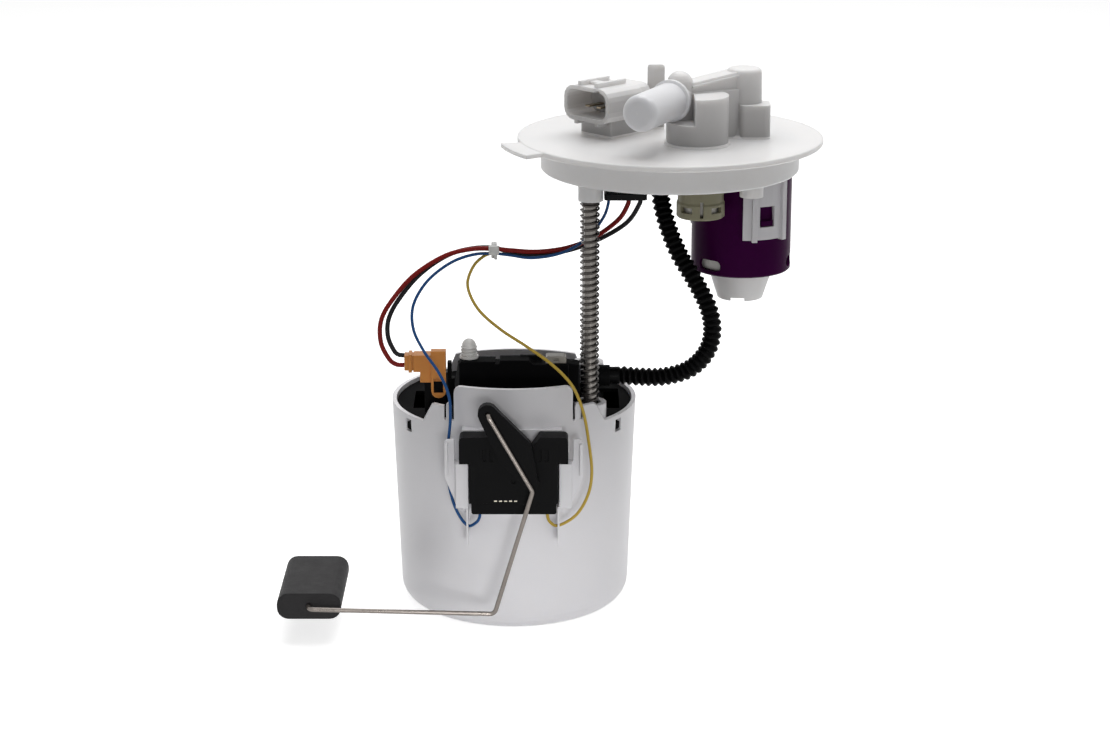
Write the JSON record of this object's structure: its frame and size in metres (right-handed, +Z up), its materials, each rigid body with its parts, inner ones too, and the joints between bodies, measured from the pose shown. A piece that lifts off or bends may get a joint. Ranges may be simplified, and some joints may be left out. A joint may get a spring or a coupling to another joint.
{
  "type": "fuel pump module",
  "caption": "In-tank fuel pump module: round tank head with outlet and socket, sprung guide rods, off-centre reservoir, float level sender, leads and corrugated hose.",
  "frame": {"origin": "centre of the head's seat on the tank, the plane of the disc's underside", "axes": "+Z up out of the tank, along the guide rods; -X towards the reservoir's side; -Y on the level sender's side"},
  "size_m": [0.2649, 0.1545, 0.2712],
  "materials": {
    "natural_acetal": "satin",
    "cap_polyethylene": "translucent satin",
    "tinned_brass": "dull",
    "black_nylon": "satin",
    "black_rubber": "matte",
    "rod_steel": "polished",
    "spring_steel": "oiled",
    "dark_purple_plastic": "satin",
    "valve_white": "satin",
    "khaki_plastic": "satin",
    "float_ivory": "satin",
    "hose_nylon": "satin",
    "lead_red": "matte",
    "lead_black": "matte",
    "lead_blue": "matte",
    "lead_yellow": "matte",
    "tie_nylon": "satin",
    "bucket_acetal": "satin",
    "strainer_felt": "felt",
    "pump_steel": "plated",
    "ferrite": "matte",
    "copper_winding": "varnished",
    "phenolic": "matte",
    "connector_orange": "satin",
    "ceramic_card": "matte",
    "contact_bronze": "bright",
    "arm_wire_steel": "bright",
    "float_nitrile": "matte",
    "clip_grey": "satin",
    "nipple_clear": "translucent satin"
  },
  "bodies": {
    "head": {"flange": "natural_acetal", "socket_pins": "tinned_brass", "outlet_cap": "cap_polyethylene", "wire_plug": "black_nylon", "rod_front": "rod_steel", "rod_rear": "rod_steel", "rod_clips": "spring_steel", "spring_front": "spring_steel", "spring_rear": "spring_steel", "vent_cage": "valve_white", "vent_can": "dark_purple_plastic", "vent_nozzle": "valve_white", "grade_can": "khaki_plastic", "supply_hose": "hose_nylon"},
    "reservoir": {"reservoir": "bucket_acetal", "inlet_valve": "black_rubber", "suction_strainer": "strainer_felt", "jet_pump": "valve_white", "pump_shell": "pump_steel", "pump_top_cap": "black_nylon", "pump_base": "phenolic", "pump_magnets": "ferrite", "pump_isolator": "black_rubber", "pressure_regulator": "pump_steel", "pump_cover": "black_nylon", "hose_elbow": "black_nylon", "return_nipple": "nipple_clear", "cover_clip": "clip_grey", "terminal_block": "black_nylon", "pump_connector": "connector_orange", "sender_housing": "black_nylon", "resistor_card": "ceramic_card", "red_lead": "lead_red", "black_lead": "lead_black", "blue_lead": "lead_blue", "yellow_lead": "lead_yellow", "lead_tie": "tie_nylon"},
    "pump_rotor": {"pump_armature": "copper_winding", "pump_impeller": "phenolic"},
    "sender_arm": {"arm_holder": "black_nylon", "wiper": "contact_bronze", "float_arm": "arm_wire_steel"},
    "level_float": {"float": "float_nitrile"},
    "vent_float": {"vent_float": "float_ivory"},
    "grade_float": {"grade_float": "float_ivory"}
  },
  "joints": [
    {"name": "reservoir_slide", "type": "slide", "parent": "head", "child": "reservoir", "axis": [0, 0, 1], "range_m": [0, 0.04], "stiffness_N_per_m": 600, "springref_m": -0.04, "deforming": ["spring_front", "spring_rear", "supply_hose", "red_lead", "black_lead", "blue_lead", "yellow_lead"]},
    {"name": "pump_spin", "type": "hinge", "parent": "reservoir", "child": "pump_rotor", "pos_m": [-0.0845, 0.006, -0.174], "axis": [0, 0, 1], "continuous": true},
    {"name": "sender_swing", "type": "hinge", "parent": "reservoir", "child": "sender_arm", "pos_m": [-0.0757, -0.073, -0.134], "axis": [0, 1, 0], "range_deg": [0, 70]},
    {"name": "float_turn", "type": "hinge", "parent": "sender_arm", "child": "level_float", "pos_m": [-0.175, -0.05, -0.2133], "axis": [0, 1, 0], "continuous": true},
    {"name": "vent_float_lift", "type": "slide", "parent": "head", "child": "vent_float", "axis": [0, 0, 1], "range_m": [0, 0.005]},
    {"name": "grade_float_lift", "type": "slide", "parent": "head", "child": "grade_float", "axis": [0, 0, 1], "range_m": [0, 0.004]}
  ]
}
